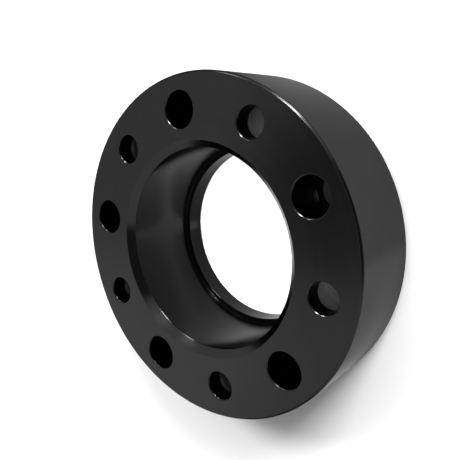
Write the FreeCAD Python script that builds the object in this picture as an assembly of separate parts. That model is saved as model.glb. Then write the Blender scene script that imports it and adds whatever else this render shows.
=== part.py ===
import FreeCAD, Part
import math
import os

# A hub-centric wheel spacer: one ring turned from a solid blank, then drilled from both faces.
# Millimetres. +Z is the axis and points out of the face that bolts to the vehicle's hub.
# The origin is on the axis, in the end plane of the centring collar, which the ring rests on.

# Driving dimensions of the turned ring
OUTER_DIAMETER = 186.0
THICKNESS = 50.0
HUB_BORE_DIAMETER = 110.1
RIM_CHAMFER = 1.0
LEAD_IN_CHAMFER = 3.8

# Driving dimensions of the centring collar that carries the wheel
COLLAR_DIAMETER = 110.0
COLLAR_BORE_DIAMETER = 103.4
COLLAR_HEIGHT = 9.0
COLLAR_LEAD_IN = 1.5
COLLAR_ROOT_RADIUS = 1.0

# Driving dimensions of the stepped floor between the hub bore and the collar's bore
NECK_THICKNESS = 3.4
FLOOR_STEP_DIAMETER = 107.6
FLOOR_STEP_DEPTH = 1.1
FLOOR_EDGE_CHAMFER = 0.4
COLLAR_BORE_CHAMFER = 0.5

# Driving dimensions of the bolt circle, shared by both rings of holes
BOLT_CIRCLE_DIAMETER = 150.0
STUD_COUNT = 5
HOLE_EDGE_BREAK = 0.5

# Wheel studs: each screws in from the hub face until its head seats in a counterbore.
# The threaded hole is a plain one here, of the tapping size for an M14 x 1.5 thread.
STUD_HEAD_DIAMETER = 19.5
STUD_HEAD_DEPTH = 29.5
STUD_TAPPING_DIAMETER = 12.5

# Hub studs: each comes up through a short hole, and its nut sits on a cone in a deep pocket
PASSAGE_DIAMETER = 15.8
PASSAGE_LENGTH = 9.3
NUT_SEAT_DIAMETER = 21.2
NUT_SEAT_ANGLE = 60.0
NUT_POCKET_DIAMETER = 28.0

# Levels and angles worked out from the driving dimensions
FULL_TURN_DEG = 360.0
WHEEL_FACE_Z = COLLAR_HEIGHT
HUB_FACE_Z = COLLAR_HEIGHT + THICKNESS
BORE_FLOOR_Z = WHEEL_FACE_Z + NECK_THICKNESS
STEP_FLOOR_Z = BORE_FLOOR_Z - FLOOR_STEP_DEPTH
STUD_PITCH_DEG = FULL_TURN_DEG / STUD_COUNT
PASSAGE_START_DEG = STUD_PITCH_DEG / 2.0

# Cutting tools start this far outside a face, so that no cut ends flush with it
CLEARANCE = 1.0


def at(radius, z):
    """The point of the half section at this radius and height."""
    return FreeCAD.Vector(radius, 0.0, z)


def turned(edges):
    """The solid swept by a closed half section as it turns once about the axis."""
    section = Part.Face(Part.Wire(edges))
    return section.revolve(FreeCAD.Vector(0, 0, 0), FreeCAD.Vector(0, 0, 1), FULL_TURN_DEG)


def chain(points):
    """Straight edges that join the points in order."""
    return [Part.makeLine(start, end) for start, end in zip(points, points[1:])]


def collar_root_arc(radius):
    """The quarter round where the collar's wall meets the wheel face, as an arc and its two ends."""
    centre = at(radius + COLLAR_ROOT_RADIUS, WHEEL_FACE_Z - COLLAR_ROOT_RADIUS)
    reach = COLLAR_ROOT_RADIUS / math.sqrt(2.0)
    on_wall = at(radius, WHEEL_FACE_Z - COLLAR_ROOT_RADIUS)
    middle = FreeCAD.Vector(centre.x - reach, 0.0, centre.z + reach)
    on_face = at(radius + COLLAR_ROOT_RADIUS, WHEEL_FACE_Z)
    return on_wall, Part.Arc(on_wall, middle, on_face).toShape(), on_face


def turned_blank():
    """The ring with its collar, chamfers and stepped bore, before any hole is drilled."""
    rim = OUTER_DIAMETER / 2
    bore = HUB_BORE_DIAMETER / 2
    step = FLOOR_STEP_DIAMETER / 2
    collar = COLLAR_DIAMETER / 2
    collar_bore = COLLAR_BORE_DIAMETER / 2
    root_start, root, root_end = collar_root_arc(collar)
    outside = [
        root_end,
        at(rim - RIM_CHAMFER, WHEEL_FACE_Z),
        at(rim, WHEEL_FACE_Z + RIM_CHAMFER),
        at(rim, HUB_FACE_Z - RIM_CHAMFER),
        at(rim - RIM_CHAMFER, HUB_FACE_Z),
    ]
    hub_bore = [
        at(bore + LEAD_IN_CHAMFER, HUB_FACE_Z),
        at(bore, HUB_FACE_Z - LEAD_IN_CHAMFER),
        at(bore, BORE_FLOOR_Z),
    ]
    stepped_floor = [
        at(step + FLOOR_EDGE_CHAMFER, BORE_FLOOR_Z),
        at(step, BORE_FLOOR_Z - FLOOR_EDGE_CHAMFER),
        at(step, STEP_FLOOR_Z),
    ]
    collar_inside = [
        at(collar_bore + COLLAR_BORE_CHAMFER, STEP_FLOOR_Z),
        at(collar_bore, STEP_FLOOR_Z - COLLAR_BORE_CHAMFER),
        at(collar_bore, COLLAR_BORE_CHAMFER),
        at(collar_bore + COLLAR_BORE_CHAMFER, 0.0),
    ]
    collar_outside = [
        at(collar - COLLAR_LEAD_IN, 0.0),
        at(collar, COLLAR_LEAD_IN),
        root_start,
    ]
    points = outside + hub_bore + stepped_floor + collar_inside + collar_outside
    return turned([root] + chain(points))


def drill(profile):
    """A cutter on the axis, from its outline: points of radius and height, bottom to top."""
    bottom = at(0.0, profile[0].z)
    top = at(0.0, profile[-1].z)
    return turned(chain([bottom] + profile + [top, bottom]))


def edge_break_up(radius, face_z):
    """Outline of a small chamfer that opens a hole's mouth in a face that looks up."""
    reach = HOLE_EDGE_BREAK + CLEARANCE
    return [at(radius, face_z - HOLE_EDGE_BREAK), at(radius + reach, face_z + CLEARANCE)]


def edge_break_down(radius, face_z):
    """Outline of a small chamfer that opens a hole's mouth in a face that looks down."""
    reach = HOLE_EDGE_BREAK + CLEARANCE
    return [at(radius + reach, face_z - CLEARANCE), at(radius, face_z + HOLE_EDGE_BREAK)]


def stud_hole():
    """Cutter for one wheel stud: the tapping hole, and the counterbore that sinks the stud's head."""
    thread = STUD_TAPPING_DIAMETER / 2
    head = STUD_HEAD_DIAMETER / 2
    head_seat_z = HUB_FACE_Z - STUD_HEAD_DEPTH
    outline = edge_break_down(thread, WHEEL_FACE_Z)
    outline += [at(thread, head_seat_z), at(head, head_seat_z)]
    outline += edge_break_up(head, HUB_FACE_Z)
    return drill(outline)


def stud_passage():
    """Cutter for one hub stud: the short hole, the cone that the nut sits on, and the nut's pocket."""
    hole = PASSAGE_DIAMETER / 2
    seat = NUT_SEAT_DIAMETER / 2
    pocket = NUT_POCKET_DIAMETER / 2
    seat_top_z = HUB_FACE_Z - PASSAGE_LENGTH
    seat_depth = (seat - hole) / math.tan(math.radians(NUT_SEAT_ANGLE / 2))
    pocket_top_z = seat_top_z - seat_depth
    outline = edge_break_down(pocket, WHEEL_FACE_Z)
    outline += [at(pocket, pocket_top_z), at(seat, pocket_top_z), at(hole, seat_top_z)]
    outline += edge_break_up(hole, HUB_FACE_Z)
    return drill(outline)


def round_the_bolt_circle(cutter, start_deg):
    """Copies of a cutter, one for each stud, evenly spaced on the bolt circle."""
    copies = []
    for index in range(STUD_COUNT):
        angle = math.radians(start_deg + index * STUD_PITCH_DEG)
        reach = BOLT_CIRCLE_DIAMETER / 2
        place = FreeCAD.Vector(reach * math.cos(angle), reach * math.sin(angle), 0.0)
        copies.append(cutter.translated(place))
    return copies


def spacer_ring():
    """The finished spacer: the turned ring with both sets of holes cut, as one solid."""
    cutters = round_the_bolt_circle(stud_hole(), 0.0)
    cutters += round_the_bolt_circle(stud_passage(), PASSAGE_START_DEG)
    return turned_blank().cut(cutters).removeSplitter().Solids[0]


os.makedirs("parts", exist_ok=True)
ring = spacer_ring()
ring.exportStep("parts/spacer_ring.step")
bounds = ring.BoundBox
print("spacer_ring", ring.ShapeType, "valid", ring.isValid(), "solids", len(ring.Solids))
print("size", round(bounds.XLength, 3), round(bounds.YLength, 3), round(bounds.ZLength, 3))
print("volume in cubic millimetres", round(ring.Volume, 1))
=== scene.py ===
"""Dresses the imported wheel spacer: one turned, drilled and black anodised ring on a pale studio floor.

Lengths in the shape classes are millimetres in the part's own frame: the ring's axis is +Z, the
end of its collar lies in the plane of the floor, and the face for the hub looks up. The studio's
lengths are metres.
"""

import logging
import math
from dataclasses import dataclass, field
from enum import Enum

import bmesh
import bpy
import numpy as np
from mathutils import Matrix, Vector


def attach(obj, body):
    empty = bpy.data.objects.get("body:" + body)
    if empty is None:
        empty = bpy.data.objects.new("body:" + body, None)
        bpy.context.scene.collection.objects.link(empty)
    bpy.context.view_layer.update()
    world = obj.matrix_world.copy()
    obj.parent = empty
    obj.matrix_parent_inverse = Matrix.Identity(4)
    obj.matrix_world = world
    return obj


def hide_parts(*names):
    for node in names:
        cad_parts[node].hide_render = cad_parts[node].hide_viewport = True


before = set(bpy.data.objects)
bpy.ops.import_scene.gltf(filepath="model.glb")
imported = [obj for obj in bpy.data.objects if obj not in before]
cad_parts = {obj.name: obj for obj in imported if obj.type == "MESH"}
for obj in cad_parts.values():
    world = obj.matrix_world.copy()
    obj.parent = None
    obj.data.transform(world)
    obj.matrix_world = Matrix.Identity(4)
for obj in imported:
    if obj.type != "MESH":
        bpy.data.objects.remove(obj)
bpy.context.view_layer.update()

METRES = 0.001
FULL_TURN = 2.0 * math.pi

log = logging.getLogger("spacer")


class Cut(Enum):
    """How a surface of the ring was cut, which sets the marks that the tool left."""

    FACED = 0
    TURNED = 1
    RIM = 2
    EDGE = 3
    BORED = 4
    SEATED = 5
    TAPPED = 6
    POCKET = 7
    LEAD_IN = 8

    @property
    def in_hole(self) -> bool:
        """True where the tool ran round a hole's axis and not round the ring's."""
        return self in (Cut.BORED, Cut.SEATED, Cut.TAPPED, Cut.POCKET)


# Surfaces: grids of points, eased outlines and turned walls


@dataclass
class Shell:
    """A growing mesh made of grids of points, each with the kind of cut that its surface shows."""

    points: list[np.ndarray] = field(default_factory=list)
    quads: list[np.ndarray] = field(default_factory=list)
    cuts: list[np.ndarray] = field(default_factory=list)
    count: int = 0

    def add(self, grid: np.ndarray, closed: bool, cuts: np.ndarray, flip: bool = False) -> None:
        """Adds one surface that is sampled on a grid.

        The quad at row i, column j joins (i, j), (i, j + 1), (i + 1, j + 1) and (i + 1, j), so its
        normal is the way along a row crossed with the way from row to row.

        Args:
            grid: Points of shape (rows, columns, 3), in millimetres.
            closed: True where the last column joins the first.
            cuts: The kind of cut of each strip between two rows, as its number.
            flip: True to turn the normal over.
        """
        rows, columns = grid.shape[:2]
        across = columns if closed else columns - 1
        i, j = np.meshgrid(np.arange(rows - 1), np.arange(across), indexing="ij")
        after = (j + 1) % columns
        corners = [i * columns + j, i * columns + after, (i + 1) * columns + after, (i + 1) * columns + j]
        quads = np.stack(corners, axis=-1).reshape(-1, 4) + self.count
        self.quads.append(quads[:, ::-1] if flip else quads)
        self.points.append(grid.reshape(-1, 3))
        self.cuts.append(np.repeat(cuts, across))
        self.count += rows * columns

    def mesh(self, name: str, weld: float) -> bpy.types.Mesh:
        """Joins the grids into one closed mesh.

        Args:
            name: The mesh's name.
            weld: Points closer than this many millimetres become one.

        Returns:
            The mesh in metres, smooth shaded, with one material index for each kind of cut.
        """
        points = np.concatenate(self.points) * METRES
        quads = np.concatenate(self.quads)
        made = bpy.data.meshes.new(name)
        made.from_pydata(points, [], quads)
        made.polygons.foreach_set("material_index", np.concatenate(self.cuts))
        made.polygons.foreach_set("use_smooth", np.ones(len(quads), dtype=bool))
        work = bmesh.new()
        work.from_mesh(made)
        bmesh.ops.remove_doubles(work, verts=work.verts, dist=weld * METRES)
        work.to_mesh(made)
        open_edges = sum(1 for edge in work.edges if not edge.is_manifold)
        work.free()
        made.update()
        counts = len(made.vertices), len(made.polygons), open_edges
        log.info("%s: %d points, %d faces, %d open edges", name, *counts)
        return made


@dataclass(frozen=True)
class Outline:
    """A profile of radius and height whose corners are eased by a small round.

    Each corner P between the legs towards A and B is replaced by the quadratic curve
    (1 - t)^2 (P + e a) + 2 t (1 - t) P + t^2 (P + e b), with a and b the unit legs and e the reach
    of the round. One more point on each leg, just past the round, keeps the flat beside it flat.
    """

    corners: tuple[tuple[float, float], ...]
    cuts: tuple[Cut, ...]
    ease: float = 0.25
    steps: int = 4
    share_of_leg: float = 0.36
    guard: float = 0.3

    def points(self) -> np.ndarray:
        """Works out the eased profile.

        Returns:
            Points of shape (n, 2): radius and height in millimetres, ends included.
        """
        corner = np.array(self.corners, dtype=float)
        leg = np.diff(corner, axis=0)
        size = np.linalg.norm(leg, axis=1)
        way = leg / size[:, None]
        shorter = np.minimum(size[:-1], size[1:])
        reach = np.minimum(self.ease, self.share_of_leg * shorter)[:, None, None]
        t = np.linspace(0.0, 1.0, self.steps + 1)[None, :, None]
        middle, back, on = corner[1:-1, None, :], -way[:-1, None, :], way[1:, None, :]
        start, end = middle + back * reach, middle + on * reach
        arc = (1 - t) ** 2 * start + 2 * t * (1 - t) * middle + t**2 * end
        before = middle + back * reach * (1 + self.guard)
        after = middle + on * reach * (1 + self.guard)
        eased = np.concatenate([before, arc, after], axis=1).reshape(-1, 2)
        return np.concatenate([corner[:1], eased, corner[-1:]])

    def strip_cuts(self) -> np.ndarray:
        """The kind of cut of each strip between two points of the eased profile.

        A round belongs to the leg before it for its first half, and to the leg after it for the rest.

        Returns:
            One number of a Cut for each strip.
        """
        half = self.steps // 2 + 1
        corner = np.arange(1, len(self.corners) - 1)[:, None]
        before, after = np.repeat(corner - 1, half, axis=1), np.repeat(corner, half + 1, axis=1)
        leg = np.concatenate([before, after], axis=1)
        kinds = np.array([cut.value for cut in self.cuts])
        return kinds[np.concatenate([[0], leg.reshape(-1)])]


@dataclass(frozen=True)
class Turning:
    """A surface of revolution: an outline carried round an upright axis.

    The point at step j of n and outline point (r, z) is
    (x + r cos a, y + r sin a, z), with the angle a = start + j * 360 / n degrees.
    """

    outline: Outline
    centre: tuple[float, float]
    start_deg: float
    columns: int

    def angles(self) -> np.ndarray:
        """The angle of each column, in radians."""
        return math.radians(self.start_deg) + np.arange(self.columns) * FULL_TURN / self.columns

    def grid(self) -> np.ndarray:
        """The surface's points, one row for each point of the outline.

        Returns:
            An array of shape (outline points, columns, 3), in millimetres.
        """
        profile, angle = self.outline.points(), self.angles()
        x = self.centre[0] + profile[:, :1] * np.cos(angle)
        y = self.centre[1] + profile[:, :1] * np.sin(angle)
        z = np.broadcast_to(profile[:, 1:], x.shape)
        return np.stack([x, y, z], axis=-1)


@dataclass(frozen=True)
class FaceSector:
    """The piece of a flat face round one hole, from the hole's mouth to the sector's four sides.

    A point is (1 - v) M(u) + v S(u): M runs round the mouth in even angles, and S runs round the
    sector, along its outer arc, one straight side, its inner arc and the other side.
    """

    height: float
    inner: float
    outer: float
    hole_circle: float
    mouth: float
    middle_deg: float
    arc_steps: int
    side_steps: int
    half_deg: float

    def around(self) -> int:
        """Steps in one run round the sector."""
        return 2 * (self.arc_steps + self.side_steps)

    def mouth_start_deg(self) -> float:
        """Where the run round the mouth starts, as an angle at the hole from the way outwards."""
        return -360.0 * self.arc_steps / 2 / self.around()

    def sides(self) -> np.ndarray:
        """The run round the sector.

        Returns:
            An array of shape (steps, 2), radius in millimetres and angle in degrees from the middle.
        """
        arc = np.linspace(-self.half_deg, self.half_deg, self.arc_steps + 1)[:-1]
        side = np.linspace(self.outer, self.inner, self.side_steps + 1)
        radius = [np.full(len(arc), self.outer), side[:-1], np.full(len(arc), self.inner), side[:0:-1]]
        half = np.full(self.side_steps, self.half_deg)
        return np.stack([np.concatenate(radius), np.concatenate([arc, half, -arc, -half])], axis=1)

    def grid(self, rings: int) -> np.ndarray:
        """The sector's points, from the mouth outwards.

        Args:
            rings: Steps from the mouth to the sides.

        Returns:
            An array of shape (rings + 1, steps round, 3), in millimetres.
        """
        middle = math.radians(self.middle_deg)
        start = middle + math.radians(self.mouth_start_deg())
        turn = start + np.arange(self.around()) * FULL_TURN / self.around()
        centre = self.hole_circle * np.array([math.cos(middle), math.sin(middle)])
        mouth = centre + self.mouth * np.stack([np.cos(turn), np.sin(turn)], axis=1)
        radius, angle = self.sides().T
        angle = middle + np.radians(angle)
        side = np.stack([radius * np.cos(angle), radius * np.sin(angle)], axis=1)
        v = np.linspace(0.0, 1.0, rings + 1)[:, None, None]
        flat = (1 - v) * mouth + v * side
        return np.concatenate([flat, np.full(flat.shape[:2] + (1,), self.height)], axis=-1)


# The ring


@dataclass(frozen=True)
class SpacerRing:
    """The whole part: a ring turned from a solid blank, with a centring collar and ten holes."""

    rim: float = 93.0
    hub_face: float = 59.0
    wheel_face: float = 9.0
    rim_chamfer: float = 1.0
    bore: float = 55.05
    lead_in: float = 3.8
    bore_floor: float = 12.4
    step: float = 53.8
    step_floor: float = 11.3
    step_chamfer: float = 0.4
    collar: float = 55.0
    collar_bore: float = 51.7
    collar_chamfer: float = 0.5
    collar_lead_in: float = 1.5
    collar_root: float = 1.0
    hole_circle: float = 75.0
    hole_count: int = 10
    edge_break: float = 0.5
    stud_head: float = 9.75
    stud_head_seat: float = 29.5
    stud_thread: float = 6.25
    passage: float = 7.9
    nut_seat_top: float = 49.7
    nut_seat: float = 10.6
    pocket_top: float = 45.024
    nut_pocket: float = 14.0
    flat_margin: float = 0.5
    hole_ease: float = 0.20
    rim_ease: float = 0.35
    arc_steps: int = 48
    side_steps: int = 12
    face_rings: int = 3
    weld: float = 0.002

    @property
    def pitch_deg(self) -> float:
        """Angle from one hole to the next."""
        return 360.0 / self.hole_count

    def stud_hole(self) -> Outline:
        """The counterbore that sinks a wheel stud's head, above the hole that it screws into.

        Returns:
            The hole's outline from the hub face down, with a little of each face.
        """
        e, m = self.edge_break, self.flat_margin
        return Outline(
            corners=(
                (self.stud_head + e + m, self.hub_face),
                (self.stud_head + e, self.hub_face),
                (self.stud_head, self.hub_face - e),
                (self.stud_head, self.stud_head_seat),
                (self.stud_thread, self.stud_head_seat),
                (self.stud_thread, self.wheel_face + e),
                (self.stud_thread + e, self.wheel_face),
                (self.stud_thread + e + m, self.wheel_face),
            ),
            cuts=(Cut.FACED, Cut.EDGE, Cut.BORED, Cut.SEATED, Cut.TAPPED, Cut.EDGE, Cut.FACED),
            ease=self.hole_ease,
        )

    def stud_passage(self) -> Outline:
        """The short hole for a hub stud, the cone that its nut sits on, and the nut's pocket.

        Returns:
            The hole's outline from the hub face down, with a little of each face.
        """
        e, m = self.edge_break, self.flat_margin
        return Outline(
            corners=(
                (self.passage + e + m, self.hub_face),
                (self.passage + e, self.hub_face),
                (self.passage, self.hub_face - e),
                (self.passage, self.nut_seat_top),
                (self.nut_seat, self.pocket_top),
                (self.nut_pocket, self.pocket_top),
                (self.nut_pocket, self.wheel_face + e),
                (self.nut_pocket + e, self.wheel_face),
                (self.nut_pocket + e + m, self.wheel_face),
            ),
            cuts=(Cut.FACED, Cut.EDGE, Cut.BORED) + (Cut.POCKET,) * 3 + (Cut.EDGE, Cut.FACED),
            ease=self.hole_ease,
        )

    def outside(self) -> Outline:
        """From the wheel face up the rim to the hub face.

        Returns:
            The outline, with a little of each face.
        """
        c, m = self.rim_chamfer, self.flat_margin
        return Outline(
            corners=(
                (self.rim - c - m, self.wheel_face),
                (self.rim - c, self.wheel_face),
                (self.rim, self.wheel_face + c),
                (self.rim, self.hub_face - c),
                (self.rim - c, self.hub_face),
                (self.rim - c - m, self.hub_face),
            ),
            cuts=(Cut.FACED, Cut.EDGE, Cut.RIM, Cut.EDGE, Cut.FACED),
            ease=self.rim_ease,
        )

    def inside(self) -> Outline:
        """From the hub face down the bore, over the stepped floor, and round the collar.

        Returns:
            The outline, with a little of each face.
        """
        c, m = self.lead_in, self.flat_margin
        first = (
            (self.bore + c + m, self.hub_face),
            (self.bore + c, self.hub_face),
            (self.bore, self.hub_face - c),
        )
        turned = (
            (self.bore, self.bore_floor),
            (self.step + self.step_chamfer, self.bore_floor),
            (self.step, self.bore_floor - self.step_chamfer),
            (self.step, self.step_floor),
            (self.collar_bore + self.collar_chamfer, self.step_floor),
            (self.collar_bore, self.step_floor - self.collar_chamfer),
            (self.collar_bore, self.collar_chamfer),
            (self.collar_bore + self.collar_chamfer, 0.0),
            (self.collar - self.collar_lead_in, 0.0),
            (self.collar, self.collar_lead_in),
            (self.collar, self.wheel_face - self.collar_root),
            (self.collar + self.collar_root, self.wheel_face),
        )
        last = ((self.collar + self.collar_root + m, self.wheel_face),)
        return Outline(
            corners=first + turned + last,
            cuts=(Cut.FACED, Cut.LEAD_IN) + (Cut.TURNED,) * len(turned) + (Cut.FACED,),
        )

    def sector(self, hole: Outline, index: int, hub_side: bool) -> FaceSector:
        """The piece of one face round one hole.

        Args:
            hole: The outline of the hole in the middle of the sector.
            index: Its place in the circle of holes.
            hub_side: True for the hub face, False for the wheel face.

        Returns:
            The sector, its sides on the ends of the outer and inner profiles.
        """
        m = self.flat_margin
        return FaceSector(
            height=self.hub_face if hub_side else self.wheel_face,
            inner=self.bore + self.lead_in + m if hub_side else self.collar + self.collar_root + m,
            outer=self.rim - self.rim_chamfer - m,
            hole_circle=self.hole_circle,
            mouth=hole.corners[0 if hub_side else -1][0],
            middle_deg=index * self.pitch_deg,
            arc_steps=self.arc_steps,
            side_steps=self.side_steps,
            half_deg=self.pitch_deg / 2,
        )

    def bored(self, hole: Outline, index: int) -> Turning:
        """The wall of one hole.

        Args:
            hole: The hole's outline.
            index: Its place in the circle of holes.

        Returns:
            The wall, its columns in step with the faces round its mouths.
        """
        sector = self.sector(hole, index, True)
        angle = math.radians(sector.middle_deg)
        return Turning(
            outline=hole,
            centre=(self.hole_circle * math.cos(angle), self.hole_circle * math.sin(angle)),
            start_deg=sector.middle_deg + sector.mouth_start_deg(),
            columns=sector.around(),
        )

    def shell(self) -> Shell:
        """Every surface of the ring.

        Returns:
            One closed shell, normals outwards.
        """
        shell = Shell()
        columns = self.hole_count * self.arc_steps
        for outline in (self.outside(), self.inside()):
            turning = Turning(outline, (0.0, 0.0), -self.pitch_deg / 2, columns)
            shell.add(turning.grid(), True, outline.strip_cuts())
        faced = np.full(self.face_rings, Cut.FACED.value)
        for index in range(self.hole_count):
            hole = self.stud_passage() if index % 2 else self.stud_hole()
            shell.add(self.sector(hole, index, True).grid(self.face_rings), True, faced, flip=True)
            shell.add(self.sector(hole, index, False).grid(self.face_rings), True, faced)
            shell.add(self.bored(hole, index).grid(), True, hole.strip_cuts())
        return shell

    def build(self, finish: "BlackAnodising") -> bpy.types.Object:
        """Makes the dressed ring.

        Args:
            finish: The finish that covers all of it.

        Returns:
            The finished piece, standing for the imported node.
        """
        mesh = self.shell().mesh("spacer_ring_dressed", self.weld)
        for cut in Cut:
            mesh.materials.append(finish.material(cut))
        piece = bpy.data.objects.new("spacer_ring_dressed", mesh)
        bpy.context.scene.collection.objects.link(piece)
        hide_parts("spacer_ring")
        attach(piece, "root")
        return piece


# The finish: black anodising on each kind of cut


@dataclass
class Nodes:
    """Wires the nodes of one material or of the world."""

    tree: bpy.types.NodeTree

    def new(self, kind: str, **settings: object) -> bpy.types.Node:
        """Adds a node.

        Args:
            kind: The node's type.
            settings: Its properties.

        Returns:
            The node.
        """
        node = self.tree.nodes.new(kind)
        for name, value in settings.items():
            setattr(node, name, value)
        return node

    def link(self, source: bpy.types.NodeSocket, target: bpy.types.NodeSocket) -> None:
        """Joins an output to an input."""
        self.tree.links.new(source, target)

    def calc(self, operation: str, *terms: object) -> bpy.types.NodeSocket:
        """Works out one step of arithmetic.

        Args:
            operation: The Math node's operation.
            terms: Its inputs, as sockets or plain numbers.

        Returns:
            The result.
        """
        node = self.new("ShaderNodeMath", operation=operation)
        for socket, term in zip(node.inputs, terms):
            if isinstance(term, (int, float)):
                socket.default_value = term
            else:
                self.link(term, socket)
        return node.outputs[0]

    def mean(self, one: bpy.types.NodeSocket, other: bpy.types.NodeSocket) -> bpy.types.NodeSocket:
        """Halfway between two values."""
        return self.calc("ADD", self.calc("MULTIPLY", one, 0.5), self.calc("MULTIPLY", other, 0.5))

    def length(self, x: bpy.types.NodeSocket, y: bpy.types.NodeSocket) -> bpy.types.NodeSocket:
        """The distance of (x, y) from the axis."""
        squares = self.calc("MULTIPLY", x, x), self.calc("MULTIPLY", y, y)
        return self.calc("SQRT", self.calc("ADD", *squares))

    def spread(self, value: bpy.types.NodeSocket, low: float, high: float) -> bpy.types.NodeSocket:
        """Carries a value from 0..1 to another range.

        Args:
            value: The value.
            low: What 0 becomes.
            high: What 1 becomes.

        Returns:
            The carried value.
        """
        node = self.new("ShaderNodeMapRange")
        self.link(value, node.inputs["Value"])
        node.inputs["To Min"].default_value = low
        node.inputs["To Max"].default_value = high
        return node.outputs[0]

    def ramp(self, value: bpy.types.NodeSocket, start: float, end: float) -> bpy.types.NodeSocket:
        """A smooth step.

        Args:
            value: What the step follows.
            start: Where it is 0.
            end: Where it is 1.

        Returns:
            The step's height.
        """
        node = self.new("ShaderNodeMapRange", interpolation_type="SMOOTHSTEP")
        self.link(value, node.inputs["Value"])
        node.inputs["From Min"].default_value = start
        node.inputs["From Max"].default_value = end
        return node.outputs[0]

    def noise(self, vector: bpy.types.NodeSocket, scale: float, detail: float) -> bpy.types.NodeSocket:
        """Soft noise.

        Args:
            vector: The place that it is read at.
            scale: How fast it changes.
            detail: How many finer layers it has.

        Returns:
            The noise, from 0 to 1.
        """
        node = self.new("ShaderNodeTexNoise")
        self.link(vector, node.inputs["Vector"])
        node.inputs["Scale"].default_value = scale
        node.inputs["Detail"].default_value = detail
        return node.outputs["Fac"]

    def tint(self, grey: bpy.types.NodeSocket, target: bpy.types.NodeSocket) -> None:
        """Gives a colour input an even grey.

        Args:
            grey: The level of all three channels.
            target: The colour input.
        """
        colour = self.new("ShaderNodeCombineColor")
        for channel in colour.inputs:
            self.link(grey, channel)
        self.link(colour.outputs[0], target)


@dataclass(frozen=True)
class Marks:
    """How one kind of surface looks: its grey, which on some cuts also paints light or shade, and what
    the tool left on it.

    The lines are the tool's marks, which run round the axis and differ along the section. The edge
    is the tint of the gloss at a low angle, and the stretch is how far the marks draw it out.
    """

    grey: float
    edge: float
    roughness: float
    stretch: float
    lines: float
    fine_per_mm: float
    coarse_per_mm: float
    depth_mm: float


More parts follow.
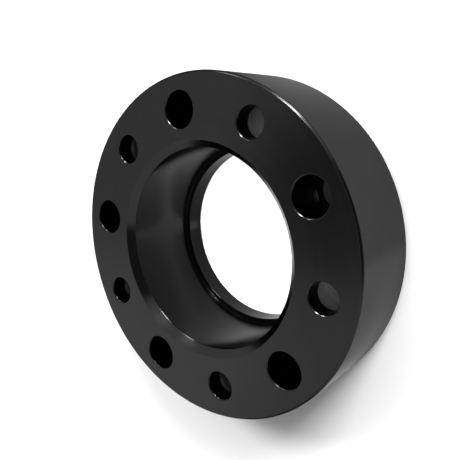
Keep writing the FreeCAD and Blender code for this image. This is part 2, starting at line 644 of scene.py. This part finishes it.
@dataclass(frozen=True)
class BlackAnodising:
    """Hard black anodising on machined aluminium: dark, satin, and as smooth as the cut under it."""

    hole_circle: float = 75.0
    hole_pitch_deg: float = 36.0
    clouds: float = 0.10
    cloud_per_m: float = 60.0
    metres_to_mm: float = 1000.0
    slow_turn: float = 1.2
    roughness_spread: float = 0.12
    cloud_detail: float = 3.0
    fine_detail: float = 1.0
    coarse_detail: float = 2.0
    quarter_turn: float = 0.25
    thread_pitch: float = 1.5
    thread_depth: float = 0.8
    marks: tuple[tuple[Cut, Marks], ...] = (
        (Cut.FACED, Marks(0.032, 0.70, 0.22, 0.80, 0.05, 3.0, 0.35, 0.0012)),
        # TURNED's grey is darker than the faces', which paints shade on the walls of the bore, its step
        # and the collar.
        (Cut.TURNED, Marks(0.0105, 0.80, 0.20, 0.80, 0.03, 3.0, 0.40, 0.0016)),
        (Cut.LEAD_IN, Marks(0.037, 0.70, 0.15, 0.60, 0.03, 3.0, 0.40, 0.0012)),
        (Cut.RIM, Marks(0.038, 0.48, 0.22, 0.70, 0.02, 3.0, 0.40, 0.0010)),
        (Cut.EDGE, Marks(0.034, 0.22, 0.18, 0.00, 0.05, 2.0, 0.50, 0.0010)),
        (Cut.BORED, Marks(0.022, 0.60, 0.13, 0.20, 0.50, 1.2, 0.40, 0.0030)),
        # POCKET's grey is paler than the other walls', which paints light from below onto the nut
        # pockets' walls.
        (Cut.POCKET, Marks(0.062, 0.80, 0.36, 0.20, 0.55, 0.9, 0.30, 0.0060)),
        # SEATED's pale grey paints light onto the floors of the stud heads' counterbores.
        (Cut.SEATED, Marks(0.240, 0.90, 0.60, 0.20, 0.10, 2.0, 0.60, 0.0020)),
        (Cut.TAPPED, Marks(0.030, 0.80, 0.25, 0.00, 0.00, 2.0, 0.60, 0.0000)),
    )

    def centred(self, nodes: Nodes, cut: Cut) -> list[bpy.types.NodeSocket]:
        """Where a point lies from the axis that its surface was cut round.

        The axis of a drilled surface is that of the nearest hole. Its angle is the point's own angle,
        rounded to whole steps of the pitch.

        Args:
            nodes: The material's nodes.
            cut: The kind of cut.

        Returns:
            x, y and z in millimetres.
        """
        place = nodes.new("ShaderNodeTexCoord").outputs["Object"]
        xyz = nodes.new("ShaderNodeSeparateXYZ")
        nodes.link(place, xyz.inputs[0])
        x, y, z = (nodes.calc("MULTIPLY", axis, self.metres_to_mm) for axis in xyz.outputs)
        if cut.in_hole:
            pitch = math.radians(self.hole_pitch_deg)
            step = nodes.calc("ROUND", nodes.calc("DIVIDE", nodes.calc("ARCTAN2", y, x), pitch))
            angle = nodes.calc("MULTIPLY", step, pitch)
            hole_x = nodes.calc("MULTIPLY", nodes.calc("COSINE", angle), self.hole_circle)
            hole_y = nodes.calc("MULTIPLY", nodes.calc("SINE", angle), self.hole_circle)
            x, y = nodes.calc("SUBTRACT", x, hole_x), nodes.calc("SUBTRACT", y, hole_y)
        return [x, y, z]

    def section(self, nodes: Nodes, centred: list[bpy.types.NodeSocket]) -> bpy.types.NodeSocket:
        """Where a point lies in the section.

        Args:
            nodes: The material's nodes.
            centred: The point's place from its axis.

        Returns:
            (radius, height, a slow drift round the axis), in millimetres.
        """
        x, y, z = centred
        radius = nodes.length(x, y)
        drift = nodes.calc("MULTIPLY", nodes.calc("ARCTAN2", y, x), self.slow_turn)
        where = nodes.new("ShaderNodeCombineXYZ")
        for source, target in zip((radius, z, drift), where.inputs):
            nodes.link(source, target)
        return where.outputs[0]

    def groove(self, nodes: Nodes, centred: list[bpy.types.NodeSocket]) -> bpy.types.NodeSocket:
        """The way that the tool ran at a point.

        Args:
            nodes: The material's nodes.
            centred: The point's place from its axis.

        Returns:
            A unit vector square to the line from the axis.
        """
        x, y, _ = centred
        way = nodes.new("ShaderNodeCombineXYZ")
        nodes.link(nodes.calc("MULTIPLY", y, -1.0), way.inputs[0])
        nodes.link(x, way.inputs[1])
        size = nodes.new("ShaderNodeVectorMath", operation="NORMALIZE")
        nodes.link(way.outputs[0], size.inputs[0])
        return size.outputs[0]

    def thread(self, nodes: Nodes, centred: list[bpy.types.NodeSocket]) -> bpy.types.NodeSocket:
        """A screw thread: a zigzag along the axis that climbs one pitch in a turn.

        Args:
            nodes: The material's nodes.
            centred: The point's place from its axis.

        Returns:
            The thread's height over its wall, in millimetres.
        """
        x, y, z = centred
        climb = nodes.calc("MULTIPLY", nodes.calc("ARCTAN2", y, x), self.thread_pitch / FULL_TURN)
        zigzag = nodes.calc("PINGPONG", nodes.calc("ADD", z, climb), self.thread_pitch / 2)
        return nodes.calc("MULTIPLY", zigzag, 2 * self.thread_depth / self.thread_pitch)

    def material(self, cut: Cut) -> bpy.types.Material:
        """The finish as it looks on one kind of cut.

        Args:
            cut: The kind of cut under the anodising.

        Returns:
            A node material that reads Object coordinates.
        """
        marks = dict(self.marks)[cut]
        made = bpy.data.materials.new(f"black_anodised_{cut.name.lower()}")
        made.use_nodes = True
        nodes = Nodes(made.node_tree)
        shader = made.node_tree.nodes["Principled BSDF"]
        place = nodes.new("ShaderNodeTexCoord").outputs["Object"]
        cloud = nodes.noise(place, self.cloud_per_m, self.cloud_detail)
        centred = self.centred(nodes, cut)
        section = self.section(nodes, centred)
        fine = nodes.noise(section, marks.fine_per_mm, self.fine_detail)
        coarse = nodes.noise(section, marks.coarse_per_mm, self.coarse_detail)
        lined = nodes.spread(nodes.mean(fine, coarse), 1 - 2 * marks.lines, 1 + 2 * marks.lines)
        clouded = nodes.spread(cloud, 1 - self.clouds, 1 + self.clouds)
        shade = nodes.calc("MULTIPLY", nodes.calc("MULTIPLY", clouded, marks.grey), lined)
        nodes.tint(shade, shader.inputs["Base Color"])
        low = marks.roughness * (1 - self.roughness_spread)
        high = marks.roughness * (1 + self.roughness_spread)
        nodes.link(nodes.spread(nodes.mean(cloud, coarse), low, high), shader.inputs["Roughness"])
        bump = nodes.new("ShaderNodeBump")
        bump.inputs["Strength"].default_value = 1.0
        if cut is Cut.TAPPED:
            bump.inputs["Distance"].default_value = METRES
            nodes.link(self.thread(nodes, centred), bump.inputs["Height"])
        else:
            bump.inputs["Distance"].default_value = marks.depth_mm * METRES
            nodes.link(nodes.calc("ADD", fine, coarse), bump.inputs["Height"])
        nodes.link(bump.outputs[0], shader.inputs["Normal"])
        shader.inputs["Metallic"].default_value = 1.0
        shader.inputs["Specular Tint"].default_value = (marks.edge, marks.edge, marks.edge, 1.0)
        if marks.stretch > 0:
            shader.inputs["Anisotropic"].default_value = marks.stretch
            shader.inputs["Anisotropic Rotation"].default_value = self.quarter_turn
            nodes.link(self.groove(nodes, centred), shader.inputs["Tangent"])
        return made


# The studio: floor, surroundings, lamps and camera


def unit(azimuth: float, elevation: float) -> tuple[float, float, float]:
    """The unit vector at an azimuth and elevation given in degrees."""
    a, e = math.radians(azimuth), math.radians(elevation)
    return math.cos(e) * math.cos(a), math.cos(e) * math.sin(a), math.sin(e)


@dataclass(frozen=True)
class PaintedReflection:
    """A painted reflection: a glowing strip of floor that only gloss sees, across a heading and between
    two circles.

    The strip runs from near to far along the heading, which is in degrees, and the circles are about
    the ring's axis.
    """

    heading: float
    near: float
    far: float
    inner: float
    outer: float
    soft: float
    level: float


@dataclass(frozen=True)
class PaleFloor:
    """A matt pale floor that keeps the ring's shadow, and glows white to the camera far away.

    The glow is none at the first radius of far and full at the second. The grey that gloss sees is
    none at the first radius of bore and full at the second.
    """

    size: float = 30.0
    grey: float = 0.55
    far: tuple[float, float] = (0.45, 1.6)
    glow_in_gloss: float = 0.25
    grey_in_gloss: float = 0.28
    bore: tuple[float, float] = (0.062, 0.056)
    # Glowing strips that only gloss sees: painted reflections, which put pale bands on the ring's walls.
    painted_reflections: tuple[PaintedReflection, ...] = (
        PaintedReflection(217.3, -0.0461, 1.0, 0.098, 1.0, 0.004, 0.72),
        PaintedReflection(0.0, 0.064, 1.0, 0.080, 0.240, 0.035, 1.35),
        PaintedReflection(0.0, -1.0, 1.0, -1.0, 0.091, 0.003, 0.12),
        PaintedReflection(225.0, 0.0138, 0.0172, -1.0, 0.048, 0.001, 2.0),
    )

    def painted_reflection_light(self, nodes: Nodes, place: tuple[bpy.types.NodeSocket, ...]) -> bpy.types.NodeSocket:
        """How much the painted reflections add at a place on the floor.

        Args:
            nodes: The material's nodes.
            place: x, y and radius, in metres.

        Returns:
            The added strength.
        """
        x, y, radius = place
        total: object = 0.0
        for reflection in self.painted_reflections:
            along_x, along_y, _ = unit(reflection.heading, 0.0)
            part_x, part_y = nodes.calc("MULTIPLY", x, along_x), nodes.calc("MULTIPLY", y, along_y)
            across = nodes.calc("ADD", part_x, part_y)
            light: object = reflection.level
            for value, start, end in ((across, reflection.near, reflection.far), (radius, reflection.inner, reflection.outer)):
                rise = nodes.ramp(value, start - reflection.soft, start + reflection.soft)
                fall = nodes.ramp(value, end + reflection.soft, end - reflection.soft)
                light = nodes.calc("MULTIPLY", nodes.calc("MULTIPLY", light, rise), fall)
            total = nodes.calc("ADD", total, light)
        return total

    def material(self) -> bpy.types.Material:
        """The floor's finish. In gloss it shows its glow and the painted reflections, and its own grey
        only in the bore.

        Returns:
            A node material that reads Object coordinates.
        """
        made = bpy.data.materials.new("pale_floor")
        made.use_nodes = True
        nodes = Nodes(made.node_tree)
        shader = made.node_tree.nodes["Principled BSDF"]
        shader.inputs["Roughness"].default_value = 1.0
        shader.inputs["Specular IOR Level"].default_value = 0.0
        shader.inputs["Emission Color"].default_value = (1.0, 1.0, 1.0, 1.0)
        xyz = nodes.new("ShaderNodeSeparateXYZ")
        nodes.link(nodes.new("ShaderNodeTexCoord").outputs["Object"], xyz.inputs[0])
        x, y, _ = xyz.outputs
        radius = nodes.length(x, y)
        ray = nodes.new("ShaderNodeLightPath")
        mirrored = nodes.calc("MAXIMUM", ray.outputs["Is Glossy Ray"], ray.outputs["Is Transmission Ray"])
        in_bore = nodes.calc("MULTIPLY", nodes.ramp(radius, *self.bore), self.grey_in_gloss)
        lost = nodes.calc("MULTIPLY", mirrored, nodes.calc("SUBTRACT", self.grey, in_bore))
        nodes.tint(nodes.calc("SUBTRACT", self.grey, lost), shader.inputs["Base Color"])
        seen = nodes.calc("MULTIPLY", ray.outputs["Is Camera Ray"], nodes.ramp(radius, *self.far))
        # In gloss the floor glows evenly, and more where the painted reflections lie.
        glow = nodes.calc("ADD", self.painted_reflection_light(nodes, (x, y, radius)), self.glow_in_gloss)
        glow = nodes.calc("MULTIPLY", mirrored, glow)
        nodes.link(nodes.calc("MAXIMUM", seen, glow), shader.inputs["Emission Strength"])
        return made

    def build(self) -> bpy.types.Object:
        """Lays the floor in the plane of the collar's end.

        Returns:
            The floor, a part of the stage.
        """
        half = self.size / 2
        mesh = bpy.data.meshes.new("studio_floor")
        corners = np.array([(-half, -half, 0), (half, -half, 0), (half, half, 0), (-half, half, 0)])
        mesh.from_pydata(corners, [], np.array([[0, 1, 2, 3]]))
        mesh.materials.append(self.material())
        floor = bpy.data.objects.new("studio_floor", mesh)
        bpy.context.scene.collection.objects.link(floor)
        return floor


@dataclass(frozen=True)
class SkyPatch:
    """A round patch of the surroundings with its own brightness, soft at its edge.

    Its place is in degrees, and so are the reach of its full part and of its whole.
    """

    azimuth: float
    elevation: float
    inner: float
    outer: float
    level: float


@dataclass(frozen=True)
class Surroundings:
    """The room round the ring: an even pale grey in its gloss, and plain white to the camera.

    Only a small share of it lights matt surfaces, so that the lamps make the floor's shadow.
    """

    level: float = 0.9
    share_on_floor: float = 0.03
    patches: tuple[SkyPatch, ...] = (
        SkyPatch(-176.0, 37.0, 7.0, 16.0, 1.55),
        SkyPatch(168.0, 62.0, 7.0, 14.0, 0.00),
        SkyPatch(-15.0, 40.0, 27.0, 37.0, 0.14),
    )

    def build(self) -> None:
        """Makes the world, with the patches laid over the even level in order."""
        world = bpy.data.worlds.new("studio")
        world.use_nodes = True
        bpy.context.scene.world = world
        nodes = Nodes(world.node_tree)
        way = nodes.new("ShaderNodeTexCoord").outputs["Generated"]
        level: object = self.level
        for patch in self.patches:
            dot = nodes.new("ShaderNodeVectorMath", operation="DOT_PRODUCT")
            nodes.link(way, dot.inputs[0])
            dot.inputs[1].default_value = unit(patch.azimuth, patch.elevation)
            edge, full = (math.cos(math.radians(reach)) for reach in (patch.outer, patch.inner))
            mask = nodes.ramp(dot.outputs["Value"], edge, full)
            change = nodes.calc("MULTIPLY", nodes.calc("SUBTRACT", patch.level, level), mask)
            level = nodes.calc("ADD", level, change)
        ray = nodes.new("ShaderNodeLightPath")
        dim = nodes.spread(ray.outputs["Is Diffuse Ray"], 1.0, self.share_on_floor)
        level = nodes.calc("MULTIPLY", level, dim)
        level = nodes.calc("MAXIMUM", level, ray.outputs["Is Camera Ray"])
        background = world.node_tree.nodes["Background"]
        nodes.link(level, background.inputs["Strength"])
        background.inputs["Color"].default_value = (1.0, 1.0, 1.0, 1.0)


@dataclass(frozen=True)
class SoftBox:
    """An oblong lamp that faces the ring, its height upright. A floor lamp doesn't show in gloss."""

    name: str
    azimuth: float
    elevation: float
    distance: float
    width: float
    height: float
    radiance: float
    for_floor: bool = False

    def build(self) -> bpy.types.Object:
        """Puts the lamp in its place. Its power is 4 times its area times its radiance.

        Returns:
            The lamp, turned towards the ring.
        """
        light = bpy.data.lights.new(self.name, "AREA")
        light.shape = "RECTANGLE"
        light.size, light.size_y = self.width, self.height
        light.energy = 4.0 * self.radiance * self.width * self.height
        lamp = bpy.data.objects.new(self.name, light)
        way = Vector(unit(self.azimuth, self.elevation))
        lamp.location = way * self.distance
        lamp.rotation_euler = way.to_track_quat("Z", "Y").to_euler()
        lamp.visible_camera = False
        lamp.visible_diffuse = self.for_floor
        lamp.visible_glossy = not self.for_floor
        bpy.context.scene.collection.objects.link(lamp)
        return lamp


@dataclass(frozen=True)
class BeamLamp:
    """A round lamp straight above the ring, whose narrow beam keeps the floor pale inside the bore."""

    height: float = 1.5
    reach: float = 0.062
    blend: float = 0.1
    floor_radiance: float = 1.0

    def build(self, floor_grey: float) -> bpy.types.Object:
        """Hangs the lamp. The floor's radiance under it is its grey * power / (4 pi^2 height^2).

        Args:
            floor_grey: How much light the floor gives back, from 0 to 1.

        Returns:
            The lamp, looking straight down.
        """
        light = bpy.data.lights.new("bore_lamp", "SPOT")
        light.energy = self.floor_radiance * 4 * math.pi**2 * self.height**2 / floor_grey
        light.spot_size = 2.0 * math.atan(self.reach / self.height)
        light.spot_blend = self.blend
        light.shadow_soft_size = 0.0
        lamp = bpy.data.objects.new("bore_lamp", light)
        lamp.location = (0.0, 0.0, self.height)
        lamp.visible_camera = False
        lamp.visible_glossy = False
        bpy.context.scene.collection.objects.link(lamp)
        return lamp


@dataclass(frozen=True)
class PhotoCamera:
    """The camera at the photograph's viewing angle: its lens, its place and its three directions."""

    lens: float = 41.11
    sensor: float = 36.0
    clip: tuple[float, float] = (0.01, 100.0)
    place: tuple[float, float, float] = (0.19358, -0.02382, 0.2603)
    right: tuple[float, float, float] = (0.68721, -0.37109, -0.62452)
    up: tuple[float, float, float] = (0.34654, 0.92303, -0.16715)
    back: tuple[float, float, float] = (0.63847, -0.10155, 0.76291)

    def build(self) -> bpy.types.Object:
        """Sets the camera up as the scene's own.

        Returns:
            The camera.
        """
        lens = bpy.data.cameras.new("photo_camera")
        lens.lens, lens.sensor_width = self.lens, self.sensor
        lens.clip_start, lens.clip_end = self.clip
        camera = bpy.data.objects.new("photo_camera", lens)
        turn = Matrix((self.right, self.up, self.back)).transposed()
        camera.matrix_world = Matrix.Translation(self.place) @ turn.to_4x4()
        bpy.context.scene.collection.objects.link(camera)
        bpy.context.scene.camera = camera
        return camera


@dataclass(frozen=True)
class Studio:
    """Everything round the ring: the floor, the surroundings, the lamps and the camera."""

    floor: PaleFloor = PaleFloor()
    surroundings: Surroundings = Surroundings()
    lamps: tuple[SoftBox, ...] = (
        SoftBox("key_lamp", 50.7, 29.0, 0.75, 0.15, 0.22, 56.0),
        SoftBox("side_lamp", 85.5, 25.0, 0.75, 0.11, 0.11, 58.0),
        SoftBox("high_floor_lamp", -10.0, 70.0, 4.0, 0.80, 0.80, 21.0, for_floor=True),
        SoftBox("wide_floor_lamp", 44.0, 50.0, 4.0, 1.80, 1.50, 11.0, for_floor=True),
        SoftBox("side_floor_lamp", 80.0, 52.0, 4.0, 0.90, 0.90, 47.0, for_floor=True),
        SoftBox("low_floor_lamp", 33.0, 30.0, 4.0, 1.20, 1.00, 60.0, for_floor=True),
    )
    beam: BeamLamp = BeamLamp()
    camera: PhotoCamera = PhotoCamera()

    def build(self) -> None:
        """Sets up the studio and the plain view of its colours."""
        self.floor.build()
        self.surroundings.build()
        for lamp in self.lamps:
            lamp.build()
        self.beam.build(self.floor.grey)
        self.camera.build()
        bpy.context.scene.view_settings.view_transform = "Standard"
        log.info("studio: %d soft boxes", len(self.lamps))


def main() -> None:
    """Builds the studio and the ring, and logs how many materials the ring has."""
    logging.basicConfig(level=logging.INFO, format="%(message)s")
    Studio().build()
    ring = SpacerRing().build(BlackAnodising())
    log.info("%s: %d materials", ring.name, len(ring.data.materials))


if __name__ == "__main__":
    main()
